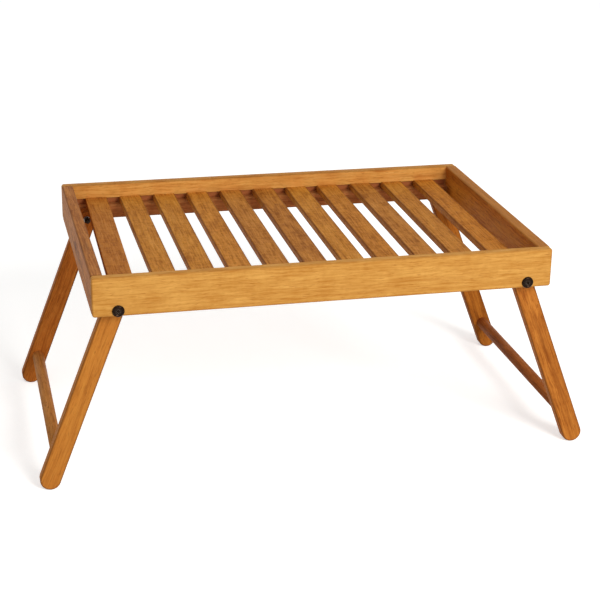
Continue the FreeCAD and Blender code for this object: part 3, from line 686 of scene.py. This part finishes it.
def combined(piece, other, operation):
    """Cut a piece with another one, or keep what they share; the other one is used up."""
    select_only(piece)
    mixed = piece.modifiers.new("combined", "BOOLEAN")
    mixed.operation, mixed.object, mixed.solver = operation, other, "EXACT"
    bpy.ops.object.modifier_apply(modifier=mixed.name)
    bpy.data.objects.remove(other, do_unlink=True)
    return piece


def punched(piece, sides, across_flats_mm, from_mm, to_mm):
    """Cut a straight-sided hole about the Z axis between two heights."""
    corner = across_flats_mm * MM / 2 / math.cos(math.pi / sides)
    bpy.ops.object.select_all(action="DESELECT")
    bpy.ops.mesh.primitive_cylinder_add(vertices=sides, radius=corner, depth=(to_mm - from_mm) * MM,
                                        location=(0, 0, (from_mm + to_mm) / 2 * MM))
    return combined(piece, bpy.context.active_object, "DIFFERENCE")


def softened(piece, width_mm, degrees=35):
    """Break the sharp edges of a piece with a narrow bevel."""
    select_only(piece)
    edge = piece.modifiers.new("broken_edges", "BEVEL")
    edge.width, edge.segments, edge.limit_method = width_mm * MM, 2, "ANGLE"
    edge.angle_limit = math.radians(degrees)
    bpy.ops.object.modifier_apply(modifier=edge.name)
    return piece


def copied(master, name):
    """A copy of a piece, with its own mesh."""
    twin = master.copy()
    twin.data = master.data.copy()
    twin.name = name
    bpy.context.scene.collection.objects.link(twin)
    return twin


# %% Where the bolts and nuts sit
PIVOT_X, PIVOT_Z = 0.2588, 0.241733
HEAD_SEAT_Y, NUT_SEAT_Y = 0.198, 0.1598
CORNERS = [(f"{end}_{side}", across, depth)
           for side, across in (("left", -1), ("right", 1))
           for end, depth in (("front", -1), ("rear", 1))]
print("pivots:", [name for name, across, depth in CORNERS])

# %% One bolt
# Radii of the head and the shank, the length, and the thread's pitch and turns.
HEAD_MM, SHANK_MM, LENGTH_MM, THREAD_MM, THREAD_TURNS = 7.5, 2.5, 45.0, 0.8, 12
ROOT_MM, CREST_MM = SHANK_MM - 0.32, SHANK_MM - 0.02
SOCKET_ACROSS_MM, SOCKET_FLOOR_MM, SOCKET_TOP_MM, EDGE_MM = 4.0, 0.4, 4.0, 0.4
thread = []
for turn_number in range(THREAD_TURNS):
    start = -LENGTH_MM + 0.4 + THREAD_MM * turn_number
    thread += [(start, ROOT_MM), (start + 0.35, CREST_MM), (start + 0.5, CREST_MM)]
# The thread runs out 34.6 mm below the head, and the shank is plain from there up.
shank = [(-LENGTH_MM, SHANK_MM - 0.7), *thread, (-34.6, SHANK_MM - 0.3), (-34.2, SHANK_MM),
         (-1, SHANK_MM), (0, SHANK_MM)]
rolled_rim = [(0, HEAD_MM - 0.3), (0.25, HEAD_MM), (0.9, HEAD_MM), (1.6, HEAD_MM - 0.35),
              (2.2, HEAD_MM - 0.9), (2.5, HEAD_MM - 1.5), (2.6, HEAD_MM - 2.0)]
dish = [(2.5, HEAD_MM - 2.3), (2.1, HEAD_MM - 2.8), (1.8, HEAD_MM - 3.3), (1.75, HEAD_MM - 4.2)]
master = turned("bolt_master", shank + rolled_rim + dish)
softened(punched(master, 6, SOCKET_ACROSS_MM, SOCKET_FLOOR_MM, SOCKET_TOP_MM), EDGE_MM)
print("bolt:", LENGTH_MM + rolled_rim[-1][0], "mm long, head", 2 * HEAD_MM, "mm across")

# %% Painted reflection and highlight on the head, and four bolts
# The dish lies above 1.3 mm, within 4.3 mm of the axis, and the socket's mouth within 2.9 mm.
DISH_FLOOR_MM, DISH_MM, MOUTH_MM = 1.3, 4.3, 2.9
FACES_UP, NEARLY_FLAT = 0.15, 0.97
# A slightly lighter steel on the dish is a painted reflection, and a bright steel on the socket's mouth,
# which slopes in, is a painted highlight.
for face in master.data.polygons:
    from_axis = math.hypot(face.center.x, face.center.y)
    if face.center.z > DISH_FLOOR_MM * MM and from_axis < DISH_MM * MM and face.normal.z > FACES_UP:
        mouth = from_axis < MOUTH_MM * MM and face.normal.z < NEARLY_FLAT
        face.material_index = 2 if mouth else 1
for name, across, depth in CORNERS:
    pivot = Vector((across * PIVOT_X, depth * HEAD_SEAT_Y, PIVOT_Z))
    bolt = settle(copied(master, f"{name}_bolt"), pivot, -depth * QUARTER)
    belongs(bolt, "tray", "pivot_bolts", "black_steel", BLACK_OXIDE, DISH_REFLECTION_STEEL, SOCKET_HIGHLIGHT_STEEL)
bpy.data.objects.remove(master, do_unlink=True)
print("bolts:", len(CORNERS))

# %% [markdown]
# ## Hexagon nuts
#
# A nut is a six-sided bar whose two rims were turned off on a lathe. Crossing a six-sided
# prism with a turned blank gives the small arcs on its corners, which a plain bevel
# can't.

# %% Nuts
NUT_MM, ACROSS_MM, RIM_MM, NUT_EDGE_MM = 4.7, 8.0, 0.35, 0.08
corner_mm = ACROSS_MM / math.sqrt(3)
master = turned("nut_master", [(0, corner_mm), (NUT_MM, corner_mm)], 6)
# The blank stands past the prism by a hair, so that no two faces lie in one plane.
blank = turned("nut_blank", [
    (-0.01, ACROSS_MM / 2 + 0.05), (RIM_MM, corner_mm + 0.02),
    (NUT_MM - RIM_MM, corner_mm + 0.02), (NUT_MM + 0.01, ACROSS_MM / 2 + 0.05)])
combined(master, blank, "INTERSECT")
softened(punched(master, 32, 2 * (SHANK_MM + 0.06), -1.0, NUT_MM + 1.0), NUT_EDGE_MM)
for name, across, depth in CORNERS:
    seat = Vector((across * PIVOT_X, depth * NUT_SEAT_Y, PIVOT_Z))
    nut = settle(copied(master, f"{name}_nut"), seat, depth * QUARTER)
    belongs(nut, "tray", "pivot_nuts", "black_steel", BLACK_OXIDE)
bpy.data.objects.remove(master, do_unlink=True)
print("nuts:", len(CORNERS), "across flats", ACROSS_MM, "mm")

# %% [markdown]
# ## Floor, light and camera
#
# The photograph is a product shot on white. The floor is a plain white sheet of paper,
# which is matte, so it takes the table's soft shadow and no highlight. Seen by the camera,
# or in a gloss or through glass, it also glows a little, so that it reads as white without
# more light on the wood. A broad lamp in front, to the right and a little higher than the
# camera, gives the long rail its brightness. White surroundings fill the rest.

# %% What the camera sees


def looked_at(tree):
    """1 for rays of the camera, also by way of gloss or glass, and 0 for rays that light things."""
    seen = add(tree, "ShaderNodeLightPath")
    direct = math_node(tree, "MAXIMUM", seen.outputs["Is Camera Ray"], seen.outputs["Is Glossy Ray"])
    return math_node(tree, "MAXIMUM", direct, seen.outputs["Is Transmission Ray"])


# %% The white sheet
SHEET_SIZE, SHEET_MIDDLE = 24.0, (0, 4, 0)
SHEET_GLOW = 0.50
bpy.ops.object.select_all(action="DESELECT")
bpy.ops.mesh.primitive_plane_add(size=SHEET_SIZE, location=SHEET_MIDDLE)
sheet = bpy.context.active_object
sheet.name = "studio_sheet"
paper, tree, output = new_material("white_paper_sheet")
matte = add(tree, "ShaderNodeBsdfDiffuse", {"Color": linear("#F4F4F2"), "Roughness": 0.6})
glow = add(tree, "ShaderNodeEmission", {
    "Color": (1, 1, 1, 1), "Strength": math_node(tree, "MULTIPLY", looked_at(tree), SHEET_GLOW)})
both = add(tree, "ShaderNodeAddShader", {0: matte.outputs[0], 1: glow.outputs[0]})
tree.links.new(both.outputs[0], output.inputs["Surface"])
sheet.data.materials.append(paper)
print("sheet:", SHEET_SIZE, "m wide")

# %% White surroundings
WORLD_LEVEL = 0.50
world = bpy.data.worlds.new("white_studio")
bpy.context.scene.world = world
world.use_nodes = True
world.node_tree.nodes.clear()
tree = world.node_tree
level = add(tree, "ShaderNodeMapRange", {"Value": looked_at(tree), "To Min": WORLD_LEVEL, "To Max": 1.0})
white = add(tree, "ShaderNodeBackground", {"Color": (1, 1, 1, 1), "Strength": level.outputs[0]})
add(tree, "ShaderNodeOutputWorld", {"Surface": white.outputs[0]})
print("world level:", WORLD_LEVEL)

# %% The lamp
LAMP_SPOT, LAMP_TARGET = (1.00, -2.65, 1.60), (0, 0, 0.2)
LAMP_SIZE, LAMP_WATTS = 1.1, 50
lamp = bpy.data.lights.new("front_softbox", "AREA")
lamp.shape, lamp.size, lamp.energy = "SQUARE", LAMP_SIZE, LAMP_WATTS
holder = bpy.data.objects.new("front_softbox", lamp)
bpy.context.scene.collection.objects.link(holder)
holder.location = LAMP_SPOT
aim = Vector(LAMP_TARGET) - Vector(LAMP_SPOT)
holder.rotation_euler = aim.to_track_quat("-Z", "Y").to_euler()
print("lamp:", LAMP_WATTS, "W,", round(aim.length, 1), "m away")

# %% [markdown]
# ## The camera
#
# Its place and turn were worked out from the photograph: a long lens about two metres
# away, above the tray and to the left of the middle.

# %% Camera
IMAGE_WIDTH = 600
FOCAL_PIXELS = 1557.63
SENSOR_MM = 36
EYE = Vector((-0.45080, -1.92889, 0.91964))
RIGHT = Vector((0.973634, -0.227700, 0.013773))
UP = Vector((0.068766, 0.350540, 0.934020))
FORWARD = Vector((0.217504, 0.908446, -0.356956))
lens = bpy.data.cameras.new("product_camera")
lens.sensor_width = SENSOR_MM
lens.lens = FOCAL_PIXELS * SENSOR_MM / IMAGE_WIDTH
camera = bpy.data.objects.new("product_camera", lens)
bpy.context.scene.collection.objects.link(camera)
axes = Matrix((RIGHT, UP, -FORWARD)).transposed().to_4x4()
camera.matrix_world = Matrix.Translation(EYE) @ axes
bpy.context.scene.camera = camera
bpy.context.scene.view_settings.view_transform = "Standard"
print("lens:", round(lens.lens, 2), "mm")
